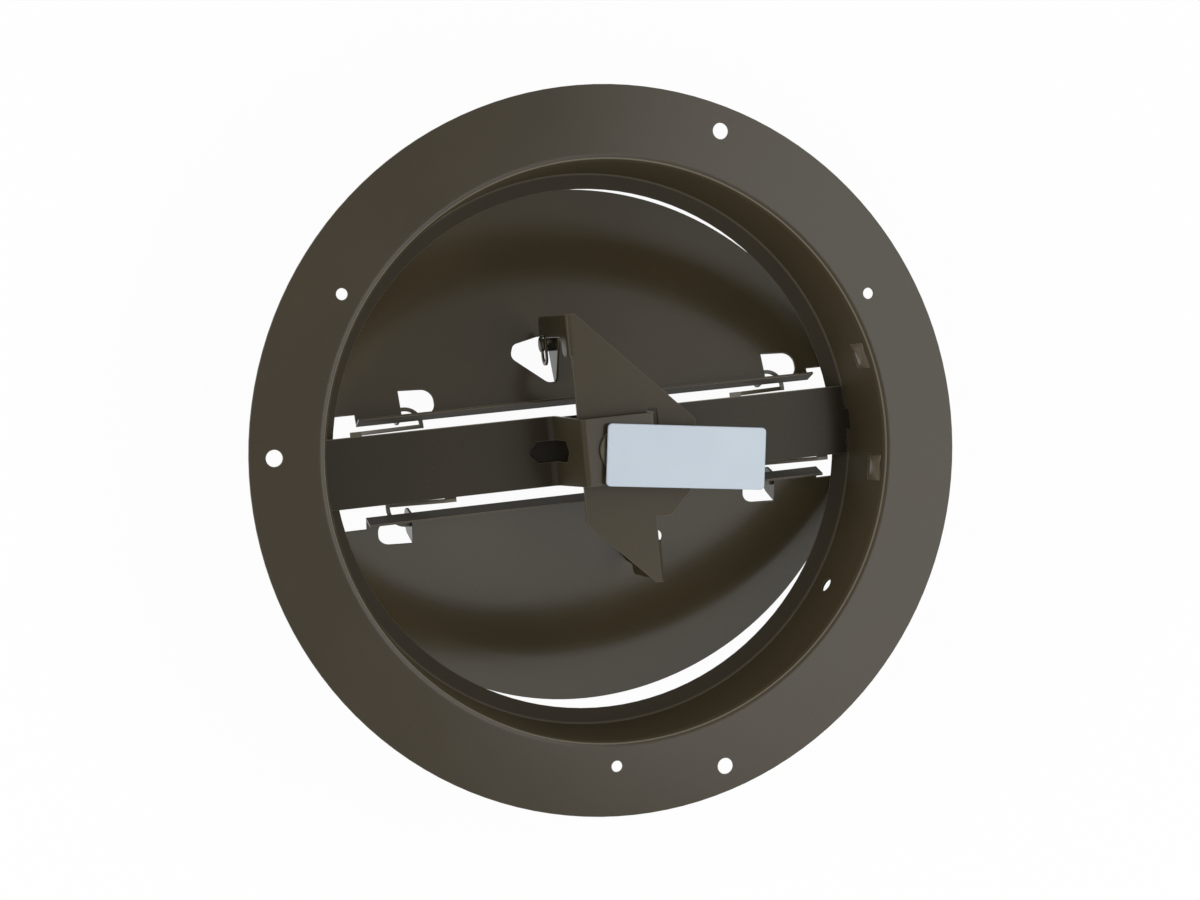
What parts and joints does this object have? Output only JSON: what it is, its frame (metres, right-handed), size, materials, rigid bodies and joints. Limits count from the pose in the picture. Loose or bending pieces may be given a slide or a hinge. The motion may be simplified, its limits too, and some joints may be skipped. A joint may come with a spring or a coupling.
{
  "type": "butterfly damper",
  "caption": "Round duct damper with a flat flange and short collar, two half-round blades hinged on a crossbar, and a side lever that turns a screw to open them.",
  "frame": {"origin": "on the duct axis at the flange's front face", "axes": "+Z along the duct axis, out of the duct towards the lever; the single large flange hole lies at -X"},
  "size_m": [0.25, 0.25, 0.0696],
  "materials": {
    "dark_paint": "gloss dark bronze paint on thin steel",
    "fittings": "dark chromated steel",
    "lever_paint": "smooth white paint"
  },
  "bodies": {
    "frame": {"flange_collar": "dark_paint", "crossbar": "dark_paint", "bridge_base": "dark_paint", "pivot_bush": "dark_paint"},
    "lever": {"lever": "lever_paint", "lever_screw": "fittings", "lever_washer": "fittings", "wave_washer": "fittings", "retaining_ring": "fittings", "screw_end_ring": "fittings"},
    "yoke": {"yoke_plate": "dark_paint", "yoke_nut": "fittings", "nut_rivets": "fittings"},
    "upper_blade": {"upper_blade": "dark_paint", "upper_link_pin": "fittings", "upper_link_spacer": "fittings"},
    "lower_blade": {"lower_blade": "dark_paint", "lower_link_pin": "fittings", "lower_link_spacer": "fittings"}
  },
  "joints": [
    {"name": "lever_turn", "type": "hinge", "parent": "frame", "child": "lever", "pos_m": [0.00016, 0.00102, 0.01], "axis": [0, 0, 1], "range_deg": [-351, 909]},
    {"name": "yoke_slide", "type": "slide", "parent": "frame", "child": "yoke", "axis": [0, 0, 1], "range_m": [-0.01516, 0.00586]},
    {"name": "upper_blade_hinge", "type": "hinge", "parent": "frame", "child": "upper_blade", "pos_m": [-0.0007, 0.02062, -0.035], "axis": [-0.9962, -0.0872, 0], "range_deg": [-19.51, 50.51]},
    {"name": "lower_blade_hinge", "type": "hinge", "parent": "frame", "child": "lower_blade", "pos_m": [0.00279, -0.01923, -0.035], "axis": [0.9962, 0.0872, 0], "range_deg": [-19.51, 50.51]}
  ],
  "couplings": [
    {"joint": "yoke_slide", "follows": "lever_turn", "m_per_rad": -0.00095493},
    {"joint": "upper_blade_hinge", "follows": "lever_turn", "ratio": 0.055556},
    {"joint": "lower_blade_hinge", "follows": "lever_turn", "ratio": 0.055556}
  ]
}
